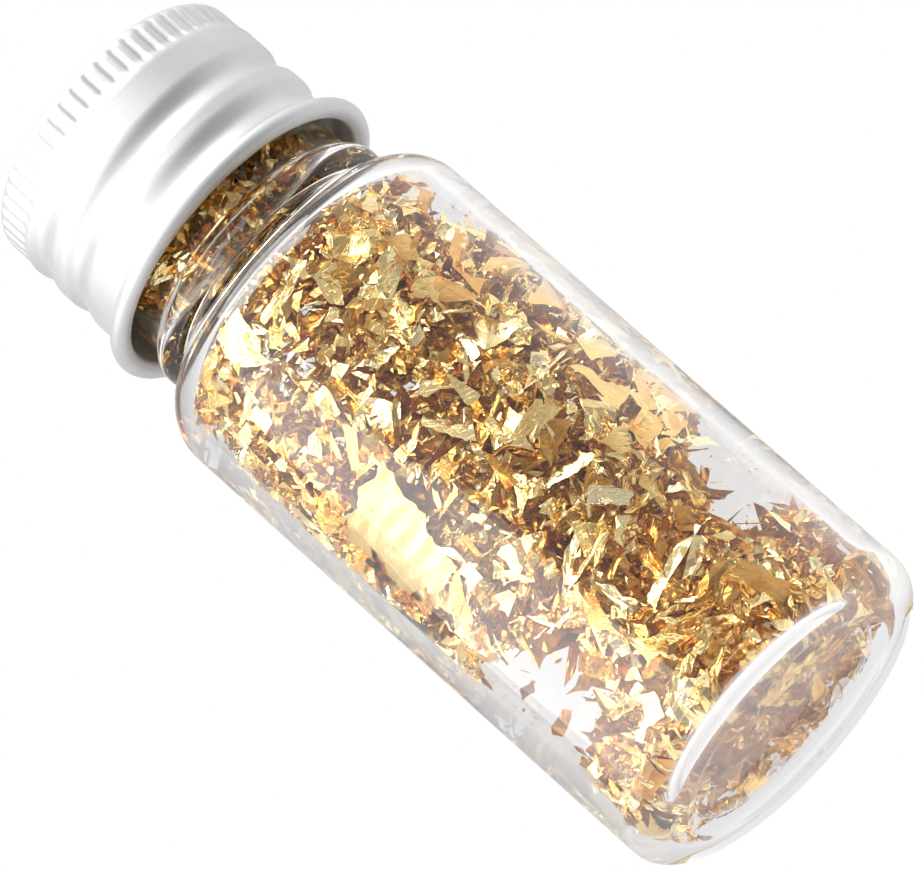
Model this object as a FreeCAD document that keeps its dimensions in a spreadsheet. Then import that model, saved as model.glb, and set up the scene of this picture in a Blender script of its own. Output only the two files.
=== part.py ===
import FreeCAD
import Part
import Sketcher
import math
import os

# A small screw-cap glass vial filled with loose scraps of gold leaf.
# Frame: the vial stands upright, the origin is the centre of the ring it stands on, +Z runs up the axis
# to the cap, and -Y is the side that carries the broadest leaf. All lengths are millimetres.

doc = FreeCAD.newDocument("gold_sample_vial")
sheet = doc.addObject("Spreadsheet::Sheet", "dims")

# ---------------------------------------------------------------- driving dimensions
DRIVING = [
    # whole vial
    ("overall_tall", 55.0),      # floor to the top of the closed cap
    ("body_dia", 22.0),          # outside of the glass body
    ("body_tall", 39.7),         # floor to the top of the shoulder
    ("glass_wall", 1.1),         # wall of the body and the neck
    # base
    ("heel_round", 1.8),         # outside round between the base and the body
    ("floor_thick", 0.6),        # glass under the contents, at the centre
    ("push_up", 0.6),            # how far the centre of the base is raised
    ("foot_inner_dia", 15.8),    # inner edge of the ring the vial stands on
    ("dome_dia", 13.9),          # edge of the shallow dome inside that ring
    ("dome_edge_tall", 0.35),    # height of that edge
    # shoulder and neck
    ("shoulder_round", 2.8),     # outside round of the shoulder
    ("shoulder_flat", 0.2),      # least flat left between that round and the neck
    ("throat_round", 0.6),       # inside round where the shoulder meets the bore
    ("neck_dia", 16.0),          # neck between the threads
    ("neck_bead_out", 0.75),     # how far the bead at the foot of the neck stands out
    ("neck_bead_lift", 0.75),    # its lower edge above the shoulder
    ("neck_bead_tall", 2.0),     # its height
    ("lip_round", 0.35),         # rounds of the lip
    # screw thread, right-handed
    ("pitch", 3.0),              # rise of the cap in one turn
    ("neck_thread_deep", 0.62),  # height of the glass thread above the neck
    ("neck_thread_wide", 1.3),   # its width at the neck
    ("neck_thread_crest", 0.7),  # its width at the crest
    ("neck_thread_turns", 1.75),
    ("thread_bite", 0.15),       # how far the cap's ridge reaches past the crest of the glass thread
    ("crest_gap", 0.25),         # crest of the glass thread to the cap's wall
    ("flank_gap", 0.12),         # between the flanks of the two threads, cap closed
    # cap
    ("cap_tall", 11.5),
    ("cap_sheet", 0.28),         # thickness of the pressed sheet
    ("cap_bead_round", 0.6),     # radius of the rolled bead at the rim
    ("cap_top_round", 0.85),     # round between the wall and the top
    ("cap_thread_lift", 1.9),    # start of the cap's thread above the rim
    ("cap_thread_turns", 2.15),
    ("cap_groove_wide", 1.35),   # width of the outside groove at the wall
    ("cap_groove_root", 0.5),    # width at its bottom
    ("cap_ridge_wide", 1.8),     # width of the inside ridge at the wall
    ("cap_ridge_crest", 0.9),    # width at its crest
    ("knurl_count", 54.0),
    ("knurl_long", 1.95),        # length of a knurl along the wall
    ("knurl_deep", 0.22),
    ("knurl_wide", 0.5),         # width of the notch between two knurls
    ("knurl_wall", 0.53),        # wall behind the knurls
    # liner
    ("liner_thick", 0.9),
    ("liner_gap", 0.12),         # around the liner
    # contents
    ("leaf_thick", 0.06),        # thickness that a crumpled sheet takes up
    ("leaf_gap", 0.2),           # between the contents and the glass
    ("well_rad", 5.0),           # clear middle of the vial
    ("flake_thick", 0.08),
    ("flake_long", 2.4),
    ("flake_wide", 1.6),
    ("flake_skew", 0.5),         # slant of a flake's ends
    ("flake_gap", 0.15),         # between neighbouring flakes
    ("neck_flake_long", 1.2),
    ("neck_flake_wide", 0.8),
    ("neck_fill", 5.6),          # how far the flakes reach up the neck, above the shoulder's inside
    ("crumb_long", 0.7),
    ("crumb_wide", 0.5),
    ("crumb_spacing", 3.6),      # typical distance from crumb to crumb
]

# ---------------------------------------------------------------- dimensions worked out from them
WORKED_OUT = [
    ("body_rad", "body_dia / 2"),
    ("body_in_rad", "body_rad - glass_wall"),
    ("foot_rad", "body_rad - heel_round"),
    ("foot_in_rad", "foot_inner_dia / 2"),
    ("dome_rad", "dome_dia / 2"),
    ("dome_rise", "push_up - dome_edge_tall"),
    ("dome_curve", "(dome_rad ^ 2 + dome_rise ^ 2) / (2 * dome_rise)"),
    ("floor_top", "push_up + floor_thick"),
    ("heel_in_round", "heel_round - glass_wall / 2"),
    ("heel_in_top", "floor_top + heel_in_round"),
    ("floor_rad", "body_in_rad - heel_in_round"),
    ("neck_rad", "neck_dia / 2"),
    ("neck_in_rad", "neck_rad - glass_wall"),
    ("shoulder_arc", "min(shoulder_round; body_rad - neck_rad - shoulder_flat)"),
    ("shoulder_low", "body_tall - shoulder_arc"),
    ("shoulder_mid_rad", "body_rad - shoulder_arc"),
    ("shoulder_in_arc", "shoulder_arc - glass_wall"),
    ("shoulder_in_top", "body_tall - glass_wall"),
    ("throat_rad", "neck_in_rad + throat_round"),
    ("throat_top", "shoulder_in_top + throat_round"),
    ("neck_bead_low", "body_tall + neck_bead_lift"),
    ("neck_bead_top", "neck_bead_low + neck_bead_tall"),
    ("neck_bead_curve", "(neck_bead_tall ^ 2 / 4 + neck_bead_out ^ 2) / (2 * neck_bead_out)"),
    ("cap_in_top", "overall_tall - cap_sheet"),
    ("lip_top", "cap_in_top - liner_thick"),
    ("lip_edge", "lip_top - lip_round"),
    ("lip_out_rad", "neck_rad - lip_round"),
    ("lip_in_rad", "neck_in_rad + lip_round"),
    ("neck_crest_rad", "neck_rad + neck_thread_deep"),
    ("cap_in_rad", "neck_crest_rad + crest_gap"),
    ("cap_rad", "cap_in_rad + cap_sheet"),
    ("cap_ridge_deep", "thread_bite + crest_gap"),
    ("cap_crest_rad", "cap_in_rad - cap_ridge_deep"),
    ("cap_rim", "overall_tall - cap_tall"),
    ("cap_bead_mid", "cap_rim + cap_bead_round"),
    ("cap_bead_mid_rad", "cap_in_rad + cap_bead_round"),
    ("cap_crease", "cap_bead_mid + sqrt(cap_bead_round ^ 2 - (cap_bead_mid_rad - cap_rad) ^ 2)"),
    ("cap_wall_top", "overall_tall - cap_top_round"),
    ("cap_top_rad", "cap_rad - cap_top_round"),
    ("knurl_low", "overall_tall - cap_top_round * 0.7 - knurl_long"),
    ("knurl_in_rad", "cap_rad - knurl_wall"),
    ("knurl_step", "knurl_low - (cap_in_rad - knurl_in_rad)"),
    ("knurl_root", "cap_rad - knurl_deep"),
    ("knurl_reach", "cap_rad + cap_sheet"),
    ("knurl_high", "overall_tall + cap_sheet"),
    ("liner_rad", "knurl_in_rad - liner_gap"),
    # both threads start from one helix, and the cap's ridge bears on the underside of the glass thread
    ("cap_thread_mid", "cap_rim + cap_thread_lift"),
    ("cap_flank", "cap_ridge_crest + (cap_ridge_wide - cap_ridge_crest) * thread_bite / cap_ridge_deep"),
    ("neck_flank", "neck_thread_crest"
                   " + (neck_thread_wide - neck_thread_crest) * thread_bite / neck_thread_deep"),
    ("neck_thread_mid", "cap_thread_mid + (cap_flank + neck_flank) / 2 + flank_gap"),
    # the contents keep off the glass and off the clear middle
    ("fill_rad", "body_in_rad - leaf_gap"),
    ("neck_fill_rad", "neck_in_rad - leaf_gap"),
    ("flake_spacing", "sqrt(flake_long ^ 2 + (flake_wide + flake_skew) ^ 2) + flake_gap"),
    ("flake_ring_rad", "well_rad + flake_spacing / 2"),
    ("neck_flake_spacing", "sqrt(neck_flake_long ^ 2 + (neck_flake_wide + flake_skew / 2) ^ 2) + flake_gap"),
    ("neck_flake_ring_rad", "neck_fill_rad - neck_flake_spacing / 2"),
    ("crumb_ring_rad", "fill_rad - crumb_long / 2 - flake_gap"),
]

# a thread tooth: where its root and tip lie, its middle, and its widths there
TEETH = {
    "neck_tooth": ("neck_rad - glass_wall / 4", "neck_crest_rad", "neck_thread_mid",
                   "neck_thread_wide", "neck_thread_crest"),
    "ridge_tooth": ("cap_in_rad + cap_sheet / 4", "cap_crest_rad", "cap_thread_mid",
                    "cap_ridge_wide", "cap_ridge_crest"),
    "groove_tooth": ("cap_rad + cap_sheet", "cap_crest_rad + cap_sheet", "cap_thread_mid",
                     "cap_groove_wide", "cap_groove_root"),
}
for tooth, (root, tip, middle, root_wide, tip_wide) in TEETH.items():
    WORKED_OUT.append((tooth + "_root", root))
    WORKED_OUT.append((tooth + "_tip", tip))
    WORKED_OUT.append((tooth + "_root_low", middle + " - " + root_wide + " / 2"))
    WORKED_OUT.append((tooth + "_root_high", middle + " + " + root_wide + " / 2"))
    WORKED_OUT.append((tooth + "_tip_low", middle + " - " + tip_wide + " / 2"))
    WORKED_OUT.append((tooth + "_tip_high", middle + " + " + tip_wide + " / 2"))

# broad leaves against the glass: name, length, width, rise of the fold, angle round the vial, height, lean
LEAVES = [
    ("broad_leaf", 10.4, 6.6, 0.45, -131.0, 21.1, 8.0),
    ("shoulder_leaf", 5.4, 3.2, 0.5, -66.0, 34.0, 74.0),
    ("pale_leaf", 2.6, 1.7, 0.25, -138.0, 34.6, 62.0),
    ("long_leaf", 4.4, 2.0, 0.3, -77.0, 7.8, -22.0),
    ("centre_leaf", 4.6, 3.2, 0.4, -77.0, 16.8, 35.0),
    ("folded_leaf", 4.4, 3.8, 0.7, -63.0, 27.4, -50.0),
    ("back_leaf", 6.2, 4.4, 0.35, 78.0, 19.0, 18.0),
    ("side_leaf", 5.0, 3.6, 0.4, 8.0, 29.5, -35.0),
    ("low_leaf", 4.8, 3.4, 0.3, 112.0, 9.5, 40.0),
]
for leaf, leaf_long, leaf_wide, leaf_rise, leaf_turn, leaf_tall, leaf_lean in LEAVES:
    DRIVING.append((leaf + "_long", leaf_long))
    DRIVING.append((leaf + "_wide", leaf_wide))
    DRIVING.append((leaf + "_rise", leaf_rise))
    DRIVING.append((leaf + "_turn", leaf_turn))
    DRIVING.append((leaf + "_tall", leaf_tall))
    DRIVING.append((leaf + "_lean", leaf_lean))
    WORKED_OUT.append((leaf + "_fold", leaf + "_wide / 2"))
    WORKED_OUT.append((leaf + "_crest", leaf + "_rise + leaf_thick"))

for row, (alias, value) in enumerate(DRIVING, start=1):
    sheet.set("A%d" % row, str(value))
    sheet.setAlias("A%d" % row, alias)
for row, (alias, formula) in enumerate(WORKED_OUT, start=1):
    sheet.set("B%d" % row, "=" + formula)
    sheet.setAlias("B%d" % row, alias)
doc.recompute()


def size(alias):
    """The value of a named cell, as a plain number."""
    return float(getattr(sheet, alias))


# ---------------------------------------------------------------- sketch helpers
def new_body(label):
    body = doc.addObject("PartDesign::Body", label)
    body.Label = label
    return body


def new_sketch(body, name, plane="XZ_Plane", turned=0.0):
    """An empty sketch on one of the body's own origin planes, turned about the sketch's upright axis."""
    sketch = body.newObject("Sketcher::SketchObject", name)
    planes = [feature for feature in body.Origin.OriginFeatures if feature.Role == plane]
    sketch.AttachmentSupport = [(planes[0], "")]
    sketch.MapMode = "FlatFace"
    sketch.AttachmentOffset = FreeCAD.Placement(
        FreeCAD.Vector(0, 0, 0), FreeCAD.Rotation(FreeCAD.Vector(0, 1, 0), turned))
    return sketch


def arc_between(start, end, radius, side, long_way):
    """The arc from start to end, and which of its ends is which. side +1 bends left on the way, -1 right."""
    chord = end - start
    half = chord.Length / 2
    reach = math.sqrt(max(radius ** 2 - half ** 2, 0.0))
    if long_way:
        reach = -reach
    left = FreeCAD.Vector(-chord.y, chord.x, 0).normalize()
    middle = (start + end) * 0.5 + left * reach * side
    circle = Part.Circle(middle, FreeCAD.Vector(0, 0, 1), radius)
    begin = math.atan2(start.y - middle.y, start.x - middle.x)
    finish = math.atan2(end.y - middle.y, end.x - middle.x)
    if side > 0:
        return Part.ArcOfCircle(circle, begin, finish), 1, 2
    return Part.ArcOfCircle(circle, finish, begin), 2, 1


def name_dimension(sketch, constraint, name, alias):
    """Add a dimension to a sketch and tie it to a cell."""
    number = sketch.addConstraint(constraint)
    sketch.renameConstraint(number, name)
    sketch.setExpression("Constraints." + name, "dims." + alias)


def pin_corner(sketch, edge, point, name, across, along):
    """Tie a corner to two cells: its distance across and along the sketch. None is the axis itself."""
    if across is None:
        sketch.addConstraint(Sketcher.Constraint("PointOnObject", edge, point, -2))
    else:
        distance = Sketcher.Constraint("DistanceX", -1, 1, edge, point, size(across))
        name_dimension(sketch, distance, name + "_across", across)
    if along is None:
        sketch.addConstraint(Sketcher.Constraint("PointOnObject", edge, point, -1))
    else:
        distance = Sketcher.Constraint("DistanceY", -1, 1, edge, point, size(along))
        name_dimension(sketch, distance, name + "_along", along)


def draw_outline(sketch, corners):
    """Close an outline through named corners.

    A corner is (name, across cell, along cell), and may add the arc that leads on to the next corner:
    (radius cell, side, long way round).
    """
    places = []
    for corner in corners:
        across = 0.0 if corner[1] is None else size(corner[1])
        along = 0.0 if corner[2] is None else size(corner[2])
        places.append(FreeCAD.Vector(across, along, 0))
    edges = []
    for number, corner in enumerate(corners):
        start = places[number]
        end = places[(number + 1) % len(places)]
        if len(corner) == 3:
            edges.append((sketch.addGeometry(Part.LineSegment(start, end), False), 1, 2))
        else:
            radius, side, long_way = corner[3]
            arc, first, last = arc_between(start, end, size(radius), side, long_way)
            edges.append((sketch.addGeometry(arc, False), first, last))
    for number, corner in enumerate(corners):
        edge, first, last = edges[number]
        following = edges[(number + 1) % len(edges)]
        sketch.addConstraint(Sketcher.Constraint("Coincident", edge, last, following[0], following[1]))
        pin_corner(sketch, edge, first, corner[0], corner[1], corner[2])
        if len(corner) > 3:
            radius = corner[3][0]
            curve = Sketcher.Constraint("Radius", edge, size(radius))
            name_dimension(sketch, curve, corner[0] + "_round", radius)


def turn_section(body, name, corners):
    """A solid of revolution about Z, from a closed half-section."""
    sketch = new_sketch(body, name + "_section")
    draw_outline(sketch, corners)
    turned = body.newObject("PartDesign::Revolution", name)
    turned.Profile = sketch
    turned.ReferenceAxis = (sketch, ["V_Axis"])
    turned.Angle = 360.0
    doc.recompute()
    return turned


def wind_tooth(body, name, kind, tooth, turns, start_angle):
    """Wind a thread tooth round Z, right-handed and upwards: an AdditiveHelix or a SubtractiveHelix."""
    before = body.Shape.Volume
    sketch = new_sketch(body, name + "_section", turned=start_angle)
    draw_outline(sketch, [
        ("root_low", tooth + "_root", tooth + "_root_low"),
        ("tip_low", tooth + "_tip", tooth + "_tip_low"),
        ("tip_high", tooth + "_tip", tooth + "_tip_high"),
        ("root_high", tooth + "_root", tooth + "_root_high"),
    ])
    helix = body.newObject("PartDesign::" + kind, name)
    helix.Profile = sketch
    helix.ReferenceAxis = (sketch, ["V_Axis"])
    helix.Mode = "pitch-turns-angle"
    helix.Angle = 0.0
    helix.setExpression("Pitch", "dims.pitch")
    helix.setExpression("Turns", "dims." + turns)
    doc.recompute()
    change = body.Shape.Volume - before
    print("%s changes the volume by %.2f mm3" % (name, change))
    if (change > 0) != (kind == "AdditiveHelix"):
        raise RuntimeError(name + " points the wrong way")
    return helix


# ---------------------------------------------------------------- glass vial
THREAD_START = -132.0  # angle where both helices begin, seen from above


def make_glass_vial():
    """One piece of glass: pushed-up base, round shoulder, bead and threaded neck."""
    body = new_body("glass_vial")
    turn_section(body, "glass_blank", [
        ("dome", None, "push_up", ("dome_curve", -1, False)),
        ("dome_edge", "dome_rad", "dome_edge_tall"),
        ("foot_in", "foot_in_rad", None),
        ("foot_out", "foot_rad", None, ("heel_round", 1, False)),
        ("heel", "body_rad", "heel_round"),
        ("shoulder", "body_rad", "shoulder_low", ("shoulder_arc", 1, False)),
        ("shoulder_top", "shoulder_mid_rad", "body_tall"),
        ("neck_foot", "neck_rad", "body_tall"),
        ("bead_low", "neck_rad", "neck_bead_low", ("neck_bead_curve", 1, False)),
        ("bead_high", "neck_rad", "neck_bead_top"),
        ("lip_out", "neck_rad", "lip_edge", ("lip_round", 1, False)),
        ("lip_far", "lip_out_rad", "lip_top"),
        ("lip_near", "lip_in_rad", "lip_top", ("lip_round", 1, False)),
        ("lip_in", "neck_in_rad", "lip_edge"),
        ("throat", "neck_in_rad", "throat_top", ("throat_round", 1, False)),
        ("throat_low", "throat_rad", "shoulder_in_top"),
        ("shoulder_in", "shoulder_mid_rad", "shoulder_in_top", ("shoulder_in_arc", -1, False)),
        ("body_in", "body_in_rad", "shoulder_low"),
        ("heel_in", "body_in_rad", "heel_in_top", ("heel_in_round", -1, False)),
        ("floor_edge", "floor_rad", "floor_top"),
        ("floor_mid", None, "floor_top"),
    ])
    wind_tooth(body, "glass_thread", "AdditiveHelix", "neck_tooth", "neck_thread_turns", THREAD_START)
    return body


# ---------------------------------------------------------------- cap
def make_screw_cap():
    """One pressed aluminium shell: rolled bead, rolled-in thread and knurled top edge."""
    body = new_body("screw_cap")
    turn_section(body, "cap_blank", [
        ("top_mid", None, "cap_in_top"),
        ("top_in", "knurl_in_rad", "cap_in_top"),
        ("knurl_in", "knurl_in_rad", "knurl_low"),
        ("step_in", "cap_in_rad", "knurl_step"),
        ("wall_in", "cap_in_rad", "cap_bead_mid", ("cap_bead_round", 1, True)),
        ("crease", "cap_rad", "cap_crease"),
        ("wall_top", "cap_rad", "cap_wall_top", ("cap_top_round", 1, False)),
        ("top_edge", "cap_top_rad", "overall_tall"),
        ("top_out", None, "overall_tall"),
    ])
    wind_tooth(body, "cap_ridge", "AdditiveHelix", "ridge_tooth", "cap_thread_turns", THREAD_START)
    wind_tooth(body, "cap_groove", "SubtractiveHelix", "groove_tooth", "cap_thread_turns", THREAD_START)
    cut_knurls(body)
    return body


def cut_knurls(body):
    """Notches round the top edge: one pocket through the outside of the wall, repeated round the axis."""
    before = body.Shape.Volume
    sketch = new_sketch(body, "knurl_section")
    draw_outline(sketch, [
        ("low_in", "knurl_root", "knurl_low"),
        ("low_out", "knurl_reach", "knurl_low"),
        ("high_out", "knurl_reach", "knurl_high"),
        ("high_in", "knurl_root", "knurl_high"),
    ])
    notch = body.newObject("PartDesign::Pocket", "knurl_notch")
    notch.Profile = sketch
    notch.Midplane = True
    notch.setExpression("Length", "dims.knurl_wide")
    doc.recompute()
    pattern = body.newObject("PartDesign::PolarPattern", "knurls")
    pattern.Originals = [notch]
    pattern.Axis = (sketch, ["V_Axis"])
    pattern.Angle = 360.0
    pattern.setExpression("Occurrences", "dims.knurl_count")
    body.Tip = pattern
    doc.recompute()
    change = body.Shape.Volume - before
    print("the knurls change the volume by %.2f mm3" % change)
    if change > -0.5 * size("knurl_count") * size("knurl_deep") * size("knurl_wide"):
        raise RuntimeError("the knurls cut nothing")


# ---------------------------------------------------------------- liner
def make_cap_liner():
    """A foam disc inside the cap, which rests on the lip of the glass."""
    liner = doc.addObject("Part::Cylinder", "cap_liner")
    liner.Label = "cap_liner"
    liner.setExpression("Radius", "dims.liner_rad")
    liner.setExpression("Height", "dims.liner_thick")
    liner.Placement = FreeCAD.Placement(FreeCAD.Vector(0, 0, size("lip_top")), FreeCAD.Rotation())
    return liner


# ---------------------------------------------------------------- broad leaves
def leaf_spread(leaf):
    """Half of what a leaning leaf takes up round the vial, and half of what it takes up along it."""
    lean = math.radians(size(leaf + "_lean"))
    half_long = size(leaf + "_long") / 2
    half_wide = size(leaf + "_wide") / 2
    round_it = half_wide * abs(math.cos(lean)) + half_long * abs(math.sin(lean))
    along_it = half_long * abs(math.cos(lean)) + half_wide * abs(math.sin(lean))
    return round_it, along_it


def make_leaf(leaf):
    """A sheet of leaf folded once along its length, lying against the inside of the glass."""
    body = new_body(leaf)
    sketch = new_sketch(body, leaf + "_section", plane="XY_Plane")
    draw_outline(sketch, [
        ("near", None, None),
        ("fold", leaf + "_fold", leaf + "_rise"),
        ("far", leaf + "_wide", None),
        ("far_top", leaf + "_wide", "leaf_thick"),
        ("fold_top", leaf + "_fold", leaf + "_crest"),
        ("near_top", None, "leaf_thick"),
    ])
    sheet_pad = body.newObject("PartDesign::Pad", leaf + "_sheet")
    sheet_pad.Profile = sketch
    sheet_pad.setExpression("Length", "dims." + leaf + "_long")
    round_it = leaf_spread(leaf)[0]
    fold_round_it = size(leaf + "_long") / 2 * abs(math.sin(math.radians(size(leaf + "_lean"))))
    edge_reach = math.sqrt(size("fill_rad") ** 2 - round_it ** 2) - size("leaf_thick")
    fold_reach = math.sqrt(size("fill_rad") ** 2 - fold_round_it ** 2) - size(leaf + "_crest")
    reach = min(edge_reach, fold_reach)
    centred = FreeCAD.Placement(
        FreeCAD.Vector(-size(leaf + "_fold"), 0, -size(leaf + "_long") / 2), FreeCAD.Rotation())
    leaned = FreeCAD.Placement(
        FreeCAD.Vector(0, 0, 0), FreeCAD.Rotation(FreeCAD.Vector(0, 1, 0), size(leaf + "_lean")))
    moved = FreeCAD.Placement(FreeCAD.Vector(0, reach, size(leaf + "_tall")), FreeCAD.Rotation())
    facing = FreeCAD.Placement(
        FreeCAD.Vector(0, 0, 0),
        FreeCAD.Rotation(FreeCAD.Vector(0, 0, 1), size(leaf + "_turn") - 90))
    body.Placement = facing * moved * leaned * centred
    print("%s lies %.2f mm from the axis" % (leaf, reach))
    return body


def behind_leaf(turn, tall, room):
    """True where a crumb at an angle and a height would touch one of the broad leaves."""
    for entry in LEAVES:
        leaf = entry[0]
        round_it, along_it = leaf_spread(leaf)
        away = (turn - size(leaf + "_turn") + 180) % 360 - 180
        distance = abs(math.radians(away)) * size("crumb_ring_rad")
        if distance < round_it * 1.1 + room and abs(tall - size(leaf + "_tall")) < along_it + room:
            return True
    return False


# ---------------------------------------------------------------- loose flakes
GOLDEN_TURN = 180.0 * (3.0 - math.sqrt(5.0))  # degrees, keeps repeated turns from lining up


def make_scrap(long, wide, thick, rise, skew):
    """A scrap of leaf folded along its middle, with slanted ends, centred on the origin."""
    half = wide / 2
    points = [
        FreeCAD.Vector(-half, 0, 0),
        FreeCAD.Vector(0, 0, rise),
        FreeCAD.Vector(half, 0, 0),
        FreeCAD.Vector(half, 0, thick),
        FreeCAD.Vector(0, 0, rise + thick),
        FreeCAD.Vector(-half, 0, thick),
    ]
    section = Part.Face(Part.makePolygon(points + points[:1]))
    scrap = section.extrude(FreeCAD.Vector(skew, long, 0))
    scrap.translate(FreeCAD.Vector(-skew / 2, -long / 2, -(rise + thick) / 2))
    return scrap


def place_scrap(scrap, reach, turn, tall, number):
    """Tumble a scrap by golden-angle steps and put it at a distance, angle and height."""
    scrap.rotate(FreeCAD.Vector(0, 0, 0), FreeCAD.Vector(0, 0, 1), number * GOLDEN_TURN)
    scrap.rotate(FreeCAD.Vector(0, 0, 0), FreeCAD.Vector(1, 0, 0), 90 + 50 * math.sin(number * 1.7))
    scrap.rotate(FreeCAD.Vector(0, 0, 0), FreeCAD.Vector(0, 1, 0), 60 * math.sin(number * 2.9))
    scrap.translate(FreeCAD.Vector(0, reach, tall))
    scrap.rotate(FreeCAD.Vector(0, 0, 0), FreeCAD.Vector(0, 0, 1), turn - 90)
    return scrap


def make_rings(low, high, reach, spacing, long, wide):
    """Scraps in staggered rings, each within its own cell of the spacing: a list of rings."""
    across = 2 * math.asin(spacing / 2 / reach)
    count = int(2 * math.pi / across)
    rows = int((high - low) / spacing)
    rings = []
    for row in range(rows):
        ring = []
        for place in range(count):
            number = row * count + place
            rise = 0.2 * wide * (1 + math.sin(number * 2.1)) / 2
            skew = size("flake_skew") * long / size("flake_long")
            scrap = make_scrap(long, wide, size("flake_thick"), rise, skew)
            turn = 360.0 * (place + 0.5 * (row % 2)) / count
            ring.append(place_scrap(scrap, reach, turn, low + spacing * (row + 0.5), number))
        rings.append(ring)
    return rings


def make_crumbs(low, high):
    """Crumbs on a spiral against the glass, left out where a broad leaf lies: (height, solid) pairs."""
    climb = size("crumb_spacing") ** 2 / (2 * math.pi * size("crumb_ring_rad"))
    crumbs = []
    for number in range(int((high - low) / climb)):
        tall = low + climb * (number + 0.5)
        turn = (number * GOLDEN_TURN) % 360
        if behind_leaf(turn, tall, size("crumb_long")):
            continue
        scrap = make_scrap(size("crumb_long"), size("crumb_wide"), size("flake_thick"), 0.1, 0.1)
        crumbs.append((tall, place_scrap(scrap, size("crumb_ring_rad"), turn, tall, number)))
    return crumbs


def keep_group(label, solids):
    """One sub-part made of separate solids."""
    group = doc.addObject("Part::Feature", label)
    group.Label = label
    group.Shape = Part.makeCompound(solids)
    group.Placement = FreeCAD.Placement()
    print("%s holds %d scraps" % (label, len(solids)))
    return group


def make_flakes():
    """The loose flakes in five levels of the body and in the neck, and the crumbs in three levels."""
    low = size("heel_in_top")
    rings = make_rings(low, size("shoulder_low"), size("flake_ring_rad"), size("flake_spacing"),
                       size("flake_long"), size("flake_wide"))
    levels = ("base_flakes", "lower_flakes", "middle_flakes", "upper_flakes", "shoulder_flakes")
    groups = []
    for number, level in enumerate(levels):
        first = number * len(rings) // len(levels)
        last = (number + 1) * len(rings) // len(levels)
        groups.append(keep_group(level, [scrap for ring in rings[first:last] for scrap in ring]))
    neck_low = size("shoulder_in_top")
    neck_rings = make_rings(neck_low, neck_low + size("neck_fill"), size("neck_flake_ring_rad"),
                            size("neck_flake_spacing"), size("neck_flake_long"), size("neck_flake_wide"))
    groups.append(keep_group("neck_flakes", [scrap for ring in neck_rings for scrap in ring]))
    crumbs = make_crumbs(low, size("shoulder_low"))
    third = (size("shoulder_low") - low) / 3
    for number, level in enumerate(("lower_crumbs", "middle_crumbs", "upper_crumbs")):
        bottom = low + number * third
        solids = [scrap for tall, scrap in crumbs if bottom <= tall < bottom + third]
        groups.append(keep_group(level, solids))
    return groups


# ---------------------------------------------------------------- the whole vial
subparts = [make_glass_vial(), make_screw_cap(), make_cap_liner()]
subparts += [make_leaf(entry[0]) for entry in LEAVES]
subparts += make_flakes()
doc.recompute()

for item in doc.Objects:
    if "Invalid" in item.State or "Error" in item.State:
        raise RuntimeError("%s failed: %s" % (item.Name, item.State))
for subpart in subparts:
    if subpart.Shape.isNull() or not subpart.Shape.isValid():
        raise RuntimeError(subpart.Label + " has no valid shape")

os.makedirs("parts", exist_ok=True)
for subpart in subparts:
    subpart.Shape.exportStep("parts/%s.step" % subpart.Label)
    box = subpart.Shape.BoundBox
    print("%-16s %4d solids %9.3f mm3  z %.2f to %.2f" % (
        subpart.Label, len(subpart.Shape.Solids), subpart.Shape.Volume, box.ZMin, box.ZMax))
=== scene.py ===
# %% [markdown]
# # A gold leaf sample vial
# The real thing is a small clear glass bottle, about as long as a thumb, filled with loose scraps
# of gold leaf and closed by a pressed aluminium cap. Three things have to look right: glass that
# bends light, satin metal with a rolled thread, and thousands of crumpled scraps, each a small
# mirror. This lesson builds them in that order.

# %% Load the frame
import math
import bpy
import numpy as np
from mathutils import Matrix, Vector


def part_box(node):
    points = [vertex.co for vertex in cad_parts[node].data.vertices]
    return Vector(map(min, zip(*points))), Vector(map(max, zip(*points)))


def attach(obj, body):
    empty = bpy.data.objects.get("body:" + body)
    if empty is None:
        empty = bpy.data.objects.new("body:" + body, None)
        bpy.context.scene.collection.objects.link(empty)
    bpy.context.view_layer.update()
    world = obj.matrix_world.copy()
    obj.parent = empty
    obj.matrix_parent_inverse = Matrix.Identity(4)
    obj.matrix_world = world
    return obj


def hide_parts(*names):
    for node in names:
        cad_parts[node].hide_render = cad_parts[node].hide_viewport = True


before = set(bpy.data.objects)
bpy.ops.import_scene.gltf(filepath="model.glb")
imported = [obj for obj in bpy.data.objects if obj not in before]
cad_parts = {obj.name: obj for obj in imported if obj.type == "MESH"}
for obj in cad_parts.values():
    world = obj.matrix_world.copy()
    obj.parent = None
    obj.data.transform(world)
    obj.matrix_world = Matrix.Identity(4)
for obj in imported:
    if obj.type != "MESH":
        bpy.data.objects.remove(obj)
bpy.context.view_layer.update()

MM = 0.001

# %% [markdown]
# ## Sizes
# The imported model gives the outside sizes, so nothing here can drift from it. What it can't give,
# such as the wall's thickness or the roundness of the shoulder, is named once in millimetres. All
# shapes are worked out in millimetres and turned into metres when a mesh is filled.

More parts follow.
